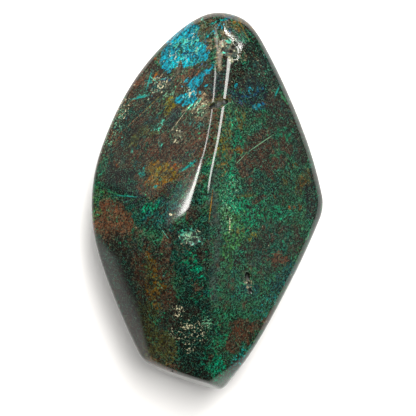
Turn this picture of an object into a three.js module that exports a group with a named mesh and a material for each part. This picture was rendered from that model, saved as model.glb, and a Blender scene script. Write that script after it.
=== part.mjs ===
// A polished freeform of shattuckite, one piece of stone. It was ground to a few broad, slightly domed
// faces that meet in rounded ridges, and it lies on its flat back with the crest up.
// Millimetres, +Z up, +Y along the stone towards its head, origin under the middle of the stone.

import * as THREE from 'three';
import { mergeVertices } from 'three/addons/utils/BufferGeometryUtils.js';

// The point inside the stone that every face looks away from, and the flat back below it
const HEART = { x: 0, y: 0, z: 17 };
const BACK_HEIGHT = 0;

// The corners where the faces of the front meet, before the ridges are rounded off
const CORNERS = {
  bend: [0.1, -0.7, 37.5], // highest point, where the main ridge turns
  crown: [5.9, 32.8, 29.5], // upper end of the main ridge
  elbow: [-4.6, -3.4, 36.7], // lower end of the second ridge
  brow: [2.3, 36.5, 27.2], // upper end of the second ridge
  apex: [4.0, 41.0, 25.5],
  temple: [6.9, 36.7, 27.5],
  headTop: [4.1, 45.5, 22.6],
  shoulder: [-21.5, 23.0, 15.5],
  rightCorner: [28.9, -1.3, 17.0],
  hip: [-27.4, -9.6, 17.5],
  belly: [-8.6, -11.6, 33.0],
  heel: [-14.8, -36.7, 18.5],
  toe: [0.5, -43.0, 23.0], // lower end of the main ridge
  toeTip: [2.2, -43.6, 21.4],
  toeSide: [10.4, -36.6, 19.6],
  toeRim: [7.6, -45.1, 12.5],
};

// The faces of the front: three corners that each passes through, and the radius it is domed to
const FRONT_FACES = {
  upperRight: { through: ['bend', 'crown', 'rightCorner'], dome: 170 },
  lowerRight: { through: ['bend', 'toe', 'rightCorner'], dome: 400 },
  crest: { through: ['bend', 'crown', 'elbow'], dome: 160 },
  upperLeft: { through: ['elbow', 'brow', 'shoulder'], dome: 450 },
  lowerCrest: { through: ['bend', 'toe', 'belly'], dome: 260 },
  lowerLeft: { through: ['hip', 'belly', 'heel'], dome: 150 },
  head: { through: ['apex', 'temple', 'headTop'], dome: 100 },
  toeRight: { through: ['toeTip', 'toeSide', 'toeRim'], dome: 120 },
};

// The other faces: the way each looks in plan, in degrees from +X towards +Y, how far it leans over
// from looking straight up, in degrees, and its distance from the heart
const SIDE_FACES = {
  toeLeft: { compass: -125, lean: 66, reach: 39.5, dome: 80 },
  backUpperRight: { compass: 25, lean: 122, reach: 24.3, dome: 260 },
  backLowerRight: { compass: -28, lean: 116, reach: 25.6, dome: 600 },
  backUpperLeft: { compass: 158.5, lean: 122, reach: 31.0, dome: 120 },
  backLeft: { compass: 166.5, lean: 126, reach: 24.5, dome: 200 },
  backLowerLeft: { compass: -163, lean: 128, reach: 23.5, dome: 400 },
  backShoulder: { compass: 139.5, lean: 121, reach: 33.1, dome: 90 },
  backHead: { compass: 80, lean: 121, reach: 47.6, dome: 60 },
  backToe: { compass: -90.5, lean: 125, reach: 52.2, dome: 50 },
};

// How far from an edge its rounding starts, measured as a difference of depth in the two faces
const ROUNDING = {
  mainRidge: 0.55,
  secondRidge: 0.45,
  head: 2.5,
  rightSide: 4,
  lowerSide: 4,
  waist: 4.5,
  toe: 1,
  rightCorner: 2.2,
  back: 6,
  rest: 4,
  rimLeft: 1.2,
  rimRight: 3.6,
};
const RIM_HALF_WIDTH = 28;

// Hollows that the polish left in the front: middle, half length, half width and turn in plan, and depth
const HOLLOWS = {
  browHollow: { at: [5.3, 36.0], size: [3.4, 2.1], turn: -50, depth: 0.6 },
  browPit: { at: [4.6, 35.5], size: [1.3, 0.7], turn: -20, depth: 1.0 },
  crestNotch: { at: [2.9, 22.5], size: [2.5, 0.9], turn: 17, depth: 1.2 },
  sidePit: { at: [9.6, -18.2], size: [1.7, 0.8], turn: 80, depth: 0.8 },
  bellyHollow: { at: [-3.9, -8.6], size: [3.6, 2.8], turn: 0, depth: 0.3 },
};

// How closely the triangles follow the stone
const FIRST_MESH_DETAIL = 6;
const SAG_LIMIT = 0.045;
const SHORTEST_SPLIT = 0.55;
const HOLLOW_SPLIT = 0.9;
const REFINING_PASSES = 6;

function domedThrough([a, b, c], dome) {
  const p = new THREE.Vector3(...a);
  const u = new THREE.Vector3(...b).sub(p);
  const v = new THREE.Vector3(...c).sub(p);
  const normal = new THREE.Vector3().crossVectors(u, v);
  const area = normal.lengthSq();
  const middle = new THREE.Vector3()
    .crossVectors(normal, u)
    .multiplyScalar(v.lengthSq())
    .add(new THREE.Vector3().crossVectors(v, normal).multiplyScalar(u.lengthSq()))
    .divideScalar(2 * area);
  const circle = middle.lengthSq();
  middle.add(p);
  normal.normalize();
  const outward = middle.clone().sub(HEART).dot(normal) > 0 ? 1 : -1;
  middle.addScaledVector(normal, -outward * Math.sqrt(dome * dome - circle));
  return { x: middle.x, y: middle.y, z: middle.z, dome };
}

function domedFacing({ compass, lean, reach, dome }) {
  const turn = THREE.MathUtils.degToRad(compass);
  const tilt = THREE.MathUtils.degToRad(lean);
  const out = reach - dome;
  return {
    x: HEART.x + out * Math.sin(tilt) * Math.cos(turn),
    y: HEART.y + out * Math.sin(tilt) * Math.sin(turn),
    z: HEART.z + out * Math.cos(tilt),
    dome,
  };
}

const faces = {};
for (const [name, face] of Object.entries(FRONT_FACES)) {
  faces[name] = domedThrough(face.through.map((corner) => CORNERS[corner]), face.dome);
}
for (const [name, face] of Object.entries(SIDE_FACES)) {
  faces[name] = domedFacing(face);
}

// Height of a point above one face: negative inside the stone
function above(name, x, y, z) {
  const face = faces[name];
  const dx = x - face.x;
  const dy = y - face.y;
  const dz = z - face.z;
  return Math.sqrt(dx * dx + dy * dy + dz * dz) - face.dome;
}

// The larger of two heights, with the edge between them rounded
function rounded(a, b, rounding) {
  const share = Math.max(rounding - Math.abs(a - b), 0) / rounding;
  return Math.max(a, b) + (share * share * rounding) / 4;
}

// The faces of the front, joined ridge by ridge
function aboveFront(x, y, z) {
  const head = above('head', x, y, z);
  const leftSide = rounded(above('upperLeft', x, y, z), head, ROUNDING.head);
  const upper = rounded(leftSide, above('crest', x, y, z), ROUNDING.secondRidge);
  const lower = rounded(above('lowerLeft', x, y, z), above('lowerCrest', x, y, z), ROUNDING.lowerSide);
  const left = rounded(upper, lower, ROUNDING.waist);
  const rightSide = rounded(above('upperRight', x, y, z), above('lowerRight', x, y, z), ROUNDING.rightSide);
  const right = rounded(rightSide, head, ROUNDING.head);
  const ridged = rounded(left, right, ROUNDING.mainRidge);
  const toed = rounded(ridged, above('toeLeft', x, y, z), ROUNDING.toe);
  return rounded(toed, above('toeRight', x, y, z), ROUNDING.toe);
}

const SOFT_BACKS = ['backUpperLeft', 'backLeft', 'backLowerLeft', 'backShoulder', 'backHead', 'backToe'];

// The sloping sides of the back, and the flat that the stone rests on
function aboveBack(x, y, z) {
  let height = rounded(
    above('backUpperRight', x, y, z),
    above('backLowerRight', x, y, z),
    ROUNDING.rightCorner,
  );
  for (const name of SOFT_BACKS) {
    height = rounded(height, above(name, x, y, z), ROUNDING.back);
  }
  return rounded(height, BACK_HEIGHT - z, ROUNDING.rest);
}

// Distance of a place in plan from a hollow's middle, as a share of the hollow's size
function shareFrom(hollow, x, y) {
  const turn = THREE.MathUtils.degToRad(hollow.turn);
  const dx = x - hollow.at[0];
  const dy = y - hollow.at[1];
  const along = (dx * Math.cos(turn) + dy * Math.sin(turn)) / hollow.size[0];
  const across = (dy * Math.cos(turn) - dx * Math.sin(turn)) / hollow.size[1];
  return Math.sqrt(along * along + across * across);
}

function hollowDepth(x, y, z) {
  if (z < HEART.z) return 0;
  let depth = 0;
  for (const hollow of Object.values(HOLLOWS)) {
    const share = shareFrom(hollow, x, y);
    if (share < 1) depth += hollow.depth * (1 - share * share) ** 2;
  }
  return depth;
}

function aboveStone(x, y, z) {
  const rim = THREE.MathUtils.clamp(x / RIM_HALF_WIDTH, -1, 1) / 2 + 0.5;
  const rimRounding = THREE.MathUtils.lerp(ROUNDING.rimLeft, ROUNDING.rimRight, rim);
  return rounded(aboveFront(x, y, z), aboveBack(x, y, z), rimRounding) + hollowDepth(x, y, z);
}

// The point of the surface that lies from the heart in the direction of a given point
function onSurface(point) {
  const way = point.clone().sub(HEART).normalize();
  let inside = 5;
  let outside = 70;
  for (let step = 0; step < 36; step += 1) {
    const middle = (inside + outside) / 2;
    const height = aboveStone(HEART.x + way.x * middle, HEART.y + way.y * middle, HEART.z + way.z * middle);
    if (height < 0) inside = middle;
    else outside = middle;
  }
  const found = way.multiplyScalar(inside).add(HEART);
  if (found.z < 1e-4) found.z = BACK_HEIGHT;
  return found;
}

// Whether an edge is too long for the hollow it lies in
function crossesHollow(middle, length) {
  if (middle.z < HEART.z) return false;
  return Object.values(HOLLOWS).some((hollow) => {
    const near = 1 + length / (2 * hollow.size[1]);
    return length > HOLLOW_SPLIT * hollow.size[1] && shareFrom(hollow, middle.x, middle.y) < near;
  });
}

// One pass: every edge that strays from the surface gets a new point, and its triangles are split
function refine(points, triangles) {
  const middles = new Map();
  const middleOf = (a, b) => {
    const key = a < b ? `${a} ${b}` : `${b} ${a}`;
    if (!middles.has(key)) {
      const length = points[a].distanceTo(points[b]);
      const middle = points[a].clone().add(points[b]).multiplyScalar(0.5);
      let added = -1;
      if (length > SHORTEST_SPLIT) {
        const surface = onSurface(middle);
        if (surface.distanceTo(middle) > SAG_LIMIT || crossesHollow(surface, length)) {
          added = points.length;
          points.push(surface);
        }
      }
      middles.set(key, added);
    }
    return middles.get(key);
  };
  const split = [];
  for (const [a, b, c] of triangles) {
    const mids = [middleOf(a, b), middleOf(b, c), middleOf(c, a)];
    split.push(...splitTriangle(points, [a, b, c], mids));
  }
  return split;
}

function splitTriangle(points, corners, mids) {
  const count = mids.filter((mid) => mid >= 0).length;
  if (count === 0) return [corners];
  if (count === 3) {
    const [a, b, c] = corners;
    const [ab, bc, ca] = mids;
    return [[a, ab, ca], [ab, b, bc], [ca, bc, c], [ab, bc, ca]];
  }
  // Turned so that the first edge is the split one, or the third the whole one
  const first = count === 1 ? mids.findIndex((mid) => mid >= 0) : (mids.findIndex((mid) => mid < 0) + 1) % 3;
  const [a, b, c] = [0, 1, 2].map((step) => corners[(first + step) % 3]);
  const [ab, bc] = [0, 1].map((step) => mids[(first + step) % 3]);
  if (count === 1) return [[a, ab, c], [ab, b, c]];
  const shortWay = points[a].distanceTo(points[bc]) < points[ab].distanceTo(points[c]);
  const rest = shortWay ? [[a, ab, bc], [a, bc, c]] : [[a, ab, c], [ab, bc, c]];
  return [[ab, b, bc], ...rest];
}

function stoneGeometry() {
  const ball = new THREE.IcosahedronGeometry(1, FIRST_MESH_DETAIL);
  ball.deleteAttribute('normal');
  ball.deleteAttribute('uv');
  const first = mergeVertices(ball);
  const spread = new THREE.Vector3(28, 46, 18);
  const points = [];
  for (let i = 0; i < first.attributes.position.count; i += 1) {
    const start = new THREE.Vector3().fromBufferAttribute(first.attributes.position, i);
    points.push(onSurface(start.multiply(spread).add(HEART)));
  }
  let triangles = [];
  for (let i = 0; i < first.index.count; i += 3) {
    triangles.push([first.index.getX(i), first.index.getX(i + 1), first.index.getX(i + 2)]);
  }
  for (let pass = 0; pass < REFINING_PASSES; pass += 1) {
    triangles = refine(points, triangles);
  }
  const geometry = new THREE.BufferGeometry();
  geometry.setAttribute('position', new THREE.Float32BufferAttribute(points.flatMap((p) => p.toArray()), 3));
  geometry.setIndex(triangles.flat());
  geometry.computeBoundingBox();
  const middle = geometry.boundingBox.getCenter(new THREE.Vector3());
  geometry.translate(-middle.x, -middle.y, 0);
  geometry.computeVertexNormals();
  return geometry;
}

function makeStone() {
  const finish = new THREE.MeshStandardMaterial({ color: 0x2f4f43, roughness: 0.12, metalness: 0 });
  const stone = new THREE.Mesh(stoneGeometry(), finish);
  stone.name = 'stone';
  return stone;
}

const group = new THREE.Group();
group.add(makeStone());
export default group;
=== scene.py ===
import math
import bmesh
import bpy
import numpy as np
from mathutils import Matrix, Vector


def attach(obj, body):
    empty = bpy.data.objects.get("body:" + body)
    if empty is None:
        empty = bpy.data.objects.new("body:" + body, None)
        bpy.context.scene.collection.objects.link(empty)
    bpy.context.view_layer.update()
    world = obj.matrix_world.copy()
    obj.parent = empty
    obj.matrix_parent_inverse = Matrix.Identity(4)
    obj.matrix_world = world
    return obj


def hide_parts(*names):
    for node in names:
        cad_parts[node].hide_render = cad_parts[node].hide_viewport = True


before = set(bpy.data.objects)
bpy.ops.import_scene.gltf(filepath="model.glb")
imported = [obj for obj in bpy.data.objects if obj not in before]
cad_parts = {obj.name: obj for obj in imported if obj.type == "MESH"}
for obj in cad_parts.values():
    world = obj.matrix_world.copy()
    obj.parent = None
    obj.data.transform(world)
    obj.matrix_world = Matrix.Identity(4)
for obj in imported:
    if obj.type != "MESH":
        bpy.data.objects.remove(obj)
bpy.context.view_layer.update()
scene = bpy.context.scene
millimetre = 0.001


# The camera looks straight down on the stone
cameraView = {
    "place": (0.0001, -0.0014, 0.420),  # metres
    "lens": 143.6,
    "sensor": 36.0,
    "nearest": 0.01,
}

cameraData = bpy.data.cameras.new("camera")
cameraData.lens = cameraView["lens"]
cameraData.sensor_width = cameraView["sensor"]
cameraData.clip_start = cameraView["nearest"]
camera = bpy.data.objects.new("camera", cameraData)
camera.location = cameraView["place"]
scene.collection.objects.link(camera)
scene.camera = camera
scene.view_settings.view_transform = "Standard"
print("camera placed")

# Millimetres, as in the solid before it is centred. Corners where the faces of the front meet,
# faces as three corners and a dome radius, or as compass, lean, reach and dome radius.
stoneShape = {
    "heart": (0, 0, 17),
    "centre": (0.178, -0.432, 0),
    "corners": {
        "bend": (0.1, -0.7, 37.5),
        "crown": (5.9, 32.8, 29.5),
        "elbow": (-4.6, -3.4, 36.7),
        "brow": (2.3, 36.5, 27.2),
        "apex": (4.0, 41.0, 25.5),
        "temple": (6.9, 36.7, 27.5),
        "headTop": (4.1, 45.5, 22.6),
        "shoulder": (-21.5, 23.0, 15.5),
        "rightCorner": (28.9, -1.3, 17.0),
        "hip": (-27.4, -9.6, 17.5),
        "belly": (-8.6, -11.6, 33.0),
        "heel": (-14.8, -36.7, 18.5),
        "toe": (0.5, -43.0, 23.0),
        "toeTip": (2.2, -43.6, 21.4),
        "toeSide": (10.4, -36.6, 19.6),
        "toeRim": (7.6, -45.1, 12.5),
    },
    "frontFaces": {
        "upperRight": ("bend", "crown", "rightCorner", 170),
        "lowerRight": ("bend", "toe", "rightCorner", 400),
        "crest": ("bend", "crown", "elbow", 160),
        "upperLeft": ("elbow", "brow", "shoulder", 450),
        "lowerCrest": ("bend", "toe", "belly", 260),
        "lowerLeft": ("hip", "belly", "heel", 150),
        "head": ("apex", "temple", "headTop", 100),
        "toeRight": ("toeTip", "toeSide", "toeRim", 120),
    },
    "sideFaces": {
        "toeLeft": (-125, 66, 39.5, 80),
        "backUpperRight": (25, 122, 24.3, 260),
        "backLowerRight": (-28, 116, 25.6, 600),
        "backUpperLeft": (158.5, 122, 31.0, 120),
        "backLeft": (166.5, 126, 24.5, 200),
        "backLowerLeft": (-163, 128, 23.5, 400),
        "backShoulder": (139.5, 121, 33.1, 90),
        "backHead": (80, 121, 47.6, 60),
        "backToe": (-90.5, 125, 52.2, 50),
    },
    "rounding": {
        "mainRidge": 0.55, "secondRidge": 0.45, "head": 2.5, "rightSide": 4, "lowerSide": 4,
        "waist": 4.5, "toe": 1, "rightCorner": 2.2, "back": 6, "rest": 4,
        "rimLeft": 1.2, "rimRight": 3.6,
    },
    "halfWidth": 28,
    # x, y, half length, half width, turn in degrees, depth
    "hollows": {
        "browHollow": (5.3, 36.0, 3.4, 2.1, -50, 0.6),
        "browPit": (4.6, 35.5, 1.3, 0.7, -20, 1.0),
        "crestNotch": (2.9, 22.5, 2.5, 0.9, 17, 1.2),
        "sidePit": (9.6, -18.2, 1.7, 0.8, 80, 0.8),
        "bellyHollow": (-3.9, -8.6, 3.6, 2.8, 0, 0.3),
    },
}


def domedThrough(a, b, c, dome):
    a, b, c = (np.array(stoneShape["corners"][name], float) for name in (a, b, c))
    u, v = b - a, c - a
    across = np.cross(u, v)
    middle = (np.cross(across, u) * (v @ v) + np.cross(v, across) * (u @ u)) / (2 * across @ across)
    sink = math.sqrt(dome * dome - middle @ middle)
    across /= np.linalg.norm(across)
    middle = middle + a
    outward = 1 if (middle - stoneShape["heart"]) @ across > 0 else -1
    return middle - outward * sink * across, dome


def domedFacing(compass, lean, reach, dome):
    turn, tilt = math.radians(compass), math.radians(lean)
    flat = math.sin(tilt)
    way = np.array([flat * math.cos(turn), flat * math.sin(turn), math.cos(tilt)])
    return stoneShape["heart"] + (reach - dome) * way, dome


stoneFaces = {name: domedThrough(*face) for name, face in stoneShape["frontFaces"].items()}
stoneFaces.update({name: domedFacing(*face) for name, face in stoneShape["sideFaces"].items()})


def rounded(a, b, rounding):
    share = np.maximum(rounding - np.abs(a - b), 0) / rounding
    return np.maximum(a, b) + share * share * rounding / 4


def shareFrom(spot, px, py):  # 0 at a spot's middle, 1 at its border
    x, y, length, width, turn = spot[:5]
    turn = math.radians(turn)
    dx, dy = px - x, py - y
    along = (dx * math.cos(turn) + dy * math.sin(turn)) / length
    across = (dy * math.cos(turn) - dx * math.sin(turn)) / width
    return np.hypot(along, across)


def aboveStone(x, y, z):
    def above(name):
        middle, dome = stoneFaces[name]
        return np.sqrt((x - middle[0]) ** 2 + (y - middle[1]) ** 2 + (z - middle[2]) ** 2) - dome

    edge = stoneShape["rounding"]
    head = above("head")
    upper = rounded(above("upperLeft"), head, edge["head"])
    upper = rounded(upper, above("crest"), edge["secondRidge"])
    lower = rounded(above("lowerLeft"), above("lowerCrest"), edge["lowerSide"])
    left = rounded(upper, lower, edge["waist"])
    right = rounded(above("upperRight"), above("lowerRight"), edge["rightSide"])
    right = rounded(right, head, edge["head"])
    front = rounded(left, right, edge["mainRidge"])
    front = rounded(rounded(front, above("toeLeft"), edge["toe"]), above("toeRight"), edge["toe"])
    back = rounded(above("backUpperRight"), above("backLowerRight"), edge["rightCorner"])
    for name in ("UpperLeft", "Left", "LowerLeft", "Shoulder", "Head", "Toe"):
        back = rounded(back, above("back" + name), edge["back"])
    back = rounded(back, -z, edge["rest"])
    rim = np.clip(x / stoneShape["halfWidth"], -1, 1) / 2 + 0.5
    rim = edge["rimLeft"] + (edge["rimRight"] - edge["rimLeft"]) * rim
    height = rounded(front, back, rim)
    onTop = z > stoneShape["heart"][2]
    for spot in stoneShape["hollows"].values():
        dent = np.clip(1 - shareFrom(spot, x, y) ** 2, 0, 1) ** 2
        height = height + np.where(onTop, spot[5] * dent, 0)
    return height


# Each point moved out from the heart to the surface, which is within slack of it if that is given
def ontoStone(points, slack=None):
    heart = np.array(stoneShape["heart"], float)
    ways = points - heart
    far = np.linalg.norm(ways, axis=1)
    ways = (ways / far[:, None]).T
    inside, outside = (far - slack, far + slack) if slack else (far * 0 + 5, far * 0 + 70)
    for step in range(13 if slack else 28):
        middle = (inside + outside) / 2
        within = aboveStone(*(way * middle + start for way, start in zip(ways, heart))) < 0
        inside = np.where(within, middle, inside)
        outside = np.where(within, outside, middle)
    return heart + (ways * inside).T


# Random values for soft clouds, which make borders wander and relief crumble
lattice = np.random.default_rng(12).random((4, 32, 32, 32)) - 0.5


def cloud(points, size, layers=2, channel=0):  # soft noise around 0, with features of this size
    total, strength = 0, 1
    for layer in range(layers):
        place = points / size * 2 ** layer + 17.3 * (layer + 1)
        cell = np.floor(place).astype(int)
        x, y, z = np.moveaxis(place - cell, 1, 0)
        x, y, z = (t * t * (3 - 2 * t) for t in (x, y, z))
        i, j, k = np.moveaxis(cell, 1, 0) % 32
        grid = lattice[channel]
        for dx, wx in ((0, 1 - x), (1, x)):
            for dy, wy in ((0, 1 - y), (1, y)):
                for dz, wz in ((0, 1 - z), (1, z)):
                    value = grid[(i + dx) % 32, (j + dy) % 32, (k + dz) % 32]
                    total = total + strength * wx * wy * wz * value
        strength *= 0.55
    return total


# Fine pits that the polish left, on the finished stone: x, y, half length, half width, turn, depth
finePits = {
    "notchLeft": (1.2, 22.4, 1.1, 0.35, 8, 0.8),
    "notchMiddle": (2.6, 22.9, 1.1, 0.5, 28, 1.1),
    "notchRight": (4.0, 23.4, 1.0, 0.45, 10, 1.0),
    "browDeep": (5.0, 35.9, 1.2, 0.45, -5, 0.9),
    "browLeft": (3.7, 36.1, 0.5, 0.3, 20, 0.4),
    "browRight": (6.7, 37.6, 0.7, 0.4, -60, 0.4),
    "browUpper": (6.0, 36.7, 0.5, 0.35, 0, 0.4),
    "crestDot": (2.5, 30.0, 0.3, 0.35, 0, 0.4),
    "shoulderDot": (-6.1, 16.8, 0.5, 0.3, 0, 0.35),
    "sideUpper": (9.4, -17.4, 0.5, 0.9, 10, 0.45),
    "sideLower": (10.2, -21.2, 0.5, 0.8, 20, 0.45),
    "sideStep": (9.9, -19.3, 0.3, 0.5, 30, 0.3),
    "heelOne": (-12.0, -38.6, 0.22, 0.22, 0, 0.3),
    "heelTwo": (-12.8, -37.4, 0.2, 0.2, 0, 0.25),
    "heelThree": (-8.0, -37.4, 0.22, 0.2, 0, 0.25),
    "heelFour": (-8.4, -40.7, 0.3, 0.2, 0, 0.3),
}

# How fine the mesh is, in millimetres
stoneMesh = {
    "firstBall": (28, 46, 18),
    "firstDetail": 6,  # subdivisions of the first ball
    "passes": 6,
    "search": 1.2,  # how far a side's middle may be from the surface
    "sag": 0.006,  # how far a triangle's side may stray from the surface
    "shortest": 0.22,
    "frontSide": 0.62,  # longest side on the front, which carries the pattern
    "frontAbove": 13,
    "pitSide": 0.16,  # longest side of a triangle in a rough hollow
    "pitReach": 0.3,  # how far around a hollow triangles are that small
    "pitsAbove": 20,
    "roughRelief": 0.448,  # crumbled relief in the rough hollows
    "roughSize": 0.9,
}

# Rough places: x, y, half length, half width, turn, share of the relief
roughPlaces = {
    "brow": (4.8, 36.4, 3.0, 1.7, -50, 1.0),
    "notch": (2.7, 22.9, 2.5, 0.9, 17, 0.7),
    "side": (9.8, -19.3, 1.2, 2.6, 12, 0.5),
    "crust": (-3.9, -8.2, 3.8, 2.5, 0, 0.55),
}


def nearPits(points):
    reach = stoneMesh["pitReach"]
    x, y = (points - stoneShape["centre"]).T[:2]
    close = np.zeros(len(points), bool)
    for spot in (*finePits.values(), *roughPlaces.values()):
        grown = (spot[0], spot[1], spot[2] + reach, spot[3] + reach, spot[4])
        close |= shareFrom(grown, x, y) < 1
    return close & (points[:, 2] > stoneMesh["pitsAbove"])


# Each spot's last value at its middle, fading to nothing at its border; the highest of all spots
def spread(spots, points, steepness):
    highest = np.zeros(len(points))
    for spot in spots:
        fade = np.clip(steepness * (1 - shareFrom(spot, *points.T[:2])), 0, 1)
        highest = np.maximum(highest, spot[-1] * fade)
    return highest


def keep(mesh, name, values):  # one number for each point, which the material reads
    attribute = mesh.attributes.new(name, "FLOAT", "POINT")
    attribute.data.foreach_set("value", values.astype(np.float32))


# One pass: a side that strays or is too long gets a point at its middle, and the triangles on
# both sides of it are split there
def splitSides(points, triangles):
    sides = np.concatenate([triangles[:, [0, 1]], triangles[:, [1, 2]], triangles[:, [2, 0]]])
    sides.sort(axis=1)
    keys, where = np.unique(sides[:, 0] * len(points) + sides[:, 1], return_inverse=True)
    a, b = points[keys // len(points)], points[keys % len(points)]
    length = np.linalg.norm(a - b, axis=1)
    middle = (a + b) / 2
    fine = nearPits(middle)
    tried = (length > stoneMesh["shortest"]) | (fine & (length > stoneMesh["pitSide"]))
    long = (length > stoneMesh["frontSide"]) & (middle[:, 2] > stoneMesh["frontAbove"])
    added = ontoStone(middle[tried], stoneMesh["search"])
    stray = np.linalg.norm(added - middle[tried], axis=1) > stoneMesh["sag"]
    wanted = stray | long[tried] | (fine[tried] & (length[tried] > stoneMesh["pitSide"]))
    index = np.full(len(keys), -1)
    index[np.flatnonzero(tried)[wanted]] = len(points) + np.arange(wanted.sum())
    points = np.vstack([points, added[wanted]])
    mids = index[where].reshape(3, -1).T
    count = (mids >= 0).sum(axis=1)
    pieces = [triangles[count == 0]]
    t, m = triangles[count == 3], mids[count == 3]
    for corner in range(3):
        pieces.append(np.stack([t[:, corner], m[:, corner], m[:, corner - 1]], axis=1))
    pieces.append(m)
    for first in range(3):
        order = [first, (first + 1) % 3, (first + 2) % 3]
        one = (count == 1) & (mids[:, first] >= 0)
        t, m = triangles[one][:, order], mids[one][:, order]
        pieces.append(np.stack([t[:, 0], m[:, 0], t[:, 2]], axis=1))
        pieces.append(np.stack([m[:, 0], t[:, 1], t[:, 2]], axis=1))
        two = (count == 2) & (mids[:, order[2]] < 0)
        t, m = triangles[two][:, order], mids[two][:, order]
        pieces.append(np.stack([m[:, 0], t[:, 1], m[:, 1]], axis=1))
        pieces.append(np.stack([t[:, 0], m[:, 0], m[:, 1]], axis=1))
        pieces.append(np.stack([t[:, 0], m[:, 1], t[:, 2]], axis=1))
    return points, np.concatenate(pieces)


def makeStone():
    first = bmesh.new()
    bmesh.ops.create_icosphere(first, subdivisions=stoneMesh["firstDetail"], radius=1)
    points = np.array([v.co for v in first.verts]) * stoneMesh["firstBall"] + stoneShape["heart"]
    triangles = np.array([[v.index for v in f.verts] for f in first.faces], np.int64)
    first.free()
    points = ontoStone(points)
    for step in range(stoneMesh["passes"]):
        points, triangles = splitSides(points, triangles)
    print("stone mesh:", len(points), "points,", len(triangles), "triangles")

    slope = np.stack([aboveStone(*(points + shift).T) - aboveStone(*(points - shift).T)
                      for shift in np.eye(3) * 0.01], axis=1)
    slope /= np.linalg.norm(slope, axis=1)[:, None]
    points = points - stoneShape["centre"]
    onTop = points[:, 2] > stoneMesh["pitsAbove"]
    depth = np.zeros(len(points))
    for spot in finePits.values():
        bowl = np.clip(1 - shareFrom(spot, *points.T[:2]) ** 2, 0, 1)
        depth += np.where(onTop, spot[5] * bowl, 0)
    # the deeper a fine pit, the blacker it is painted: painted shade in the pits
    paintedPitShade = depth * 3
    rough = np.where(onTop, spread(roughPlaces.values(), points, 1.6), 0)
    relief = np.clip(0.5 + 1.6 * cloud(points, stoneMesh["roughSize"], 3), 0, 1) ** 1.5
    depth += stoneMesh["roughRelief"] * rough * relief
    points = points - slope * depth[:, None]
    points[:, 2] = np.maximum(points[:, 2], 0)

    mesh = bpy.data.meshes.new("polished_stone")
    mesh.from_pydata((points * millimetre).tolist(), [], triangles.tolist())
    mesh.update()
    mesh.shade_smooth()
    keep(mesh, "painted_pit_shade", np.clip(paintedPitShade, 0, 1))
    keep(mesh, "rough_place", np.clip(rough + depth * 1.5, 0, 1))
    stone = bpy.data.objects.new("polished_stone", mesh)
    scene.collection.objects.link(stone)
    return stone


stone = makeStone()
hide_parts("stone")
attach(stone, "root")


class Wire:  # one socket, and the sums that are done on it
    def __init__(self, maker, socket):
        self.maker, self.socket = maker, socket

    def __add__(self, other):
        return self.maker.sum("ADD", self, other)

    def __radd__(self, other):
        return self.maker.sum("ADD", other, self)

    def __sub__(self, other):
        return self.maker.sum("SUBTRACT", self, other)

    def __rsub__(self, other):
        return self.maker.sum("SUBTRACT", other, self)

    def __mul__(self, other):
        return self.maker.sum("MULTIPLY", self, other)

    def __rmul__(self, other):
        return self.maker.sum("MULTIPLY", other, self)


class NodeMaker:
    def __init__(self, tree):
        self.tree = tree

    def add(self, kind, settings=None, values=None, out=0):
        node = self.tree.nodes.new("ShaderNode" + kind)
        for name, value in (settings or {}).items():
            setattr(node, name, value)
        for name, value in (values or {}).items():
            if isinstance(value, Wire):
                self.tree.links.new(value.socket, node.inputs[name])
            else:
                node.inputs[name].default_value = value
        if out is None:
            return [Wire(self, socket) for socket in node.outputs]
        return Wire(self, node.outputs[out])

    def sum(self, operation, a, b):
        flat = all(v.socket.type == "VALUE" if isinstance(v, Wire) else not isinstance(v, tuple)
                   for v in (a, b))
        return self.add("Math" if flat else "VectorMath", {"operation": operation}, {0: a, 1: b})

    def mix(self, factor, a, b, blend="MIX"):
        settings = {"data_type": "RGBA", "blend_type": blend}
        return self.add("Mix", settings, {0: factor, 6: a, 7: b}, out=2)

    def ramp(self, value, low, high):  # 0 at low, 1 at high, soft at both ends
        values = {"Value": value, "From Min": low, "From Max": high}
        return self.add("MapRange", {"interpolation_type": "SMOOTHSTEP"}, values)

    def between(self, value, low, high, least, most):  # least at low, most at high
        return self.add("MapRange", {}, {
            "Value": value, "From Min": low, "From Max": high, "To Min": least, "To Max": most})

    def attribute(self, name, out=2):
        return self.add("Attribute", {"attribute_name": name}, out=out)

    def noise(self, where, scale, detail=2, roughness=0.5, out=0):
        values = {"Vector": where, "Scale": scale, "Detail": detail, "Roughness": roughness}
        return self.add("TexNoise", {}, values, out)


def paint(red, green, blue):  # a colour as a screen shows it, 0 to 255
    def linear(v):
        v /= 255
        return v / 12.92 if v <= 0.04045 else ((v + 0.055) / 1.055) ** 2.4
    return linear(red), linear(green), linear(blue), 1


# Colours of the minerals
minerals = {
    "black": paint(20, 20, 19),
    "coal": paint(36, 34, 33),
    "slate": paint(42, 44, 50),
    "navy": paint(20, 32, 46),
    "darkBrown": paint(50, 37, 32),
    "brown": paint(84, 58, 45),
    "redBrown": paint(98, 62, 47),
    "salmon": paint(112, 76, 57),
    "rust": paint(132, 76, 44),
    "ochre": paint(118, 86, 38),
    "yellow": paint(132, 116, 34),
    "olive": paint(88, 84, 44),
    "greyBrown": paint(94, 84, 70),
    "beige": paint(140, 122, 98),
    "cream": paint(196, 190, 160),
    "greyGreen": paint(62, 76, 68),
    "deepGreen": paint(18, 46, 38),
    "darkGreen": paint(28, 66, 54),
    "green": paint(44, 88, 60),
    "leaf": paint(62, 108, 60),
    "malachite": paint(34, 118, 82),
    "emerald": paint(8, 120, 84),
    "paleGreen": paint(120, 168, 136),
    "darkTeal": paint(20, 70, 70),
    "teal": paint(38, 122, 116),
    "paleTeal": paint(92, 178, 156),
    "darkBlue": paint(6, 84, 130),
    "blue": paint(12, 156, 182),
    "brightBlue": paint(40, 184, 204),
}

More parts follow.
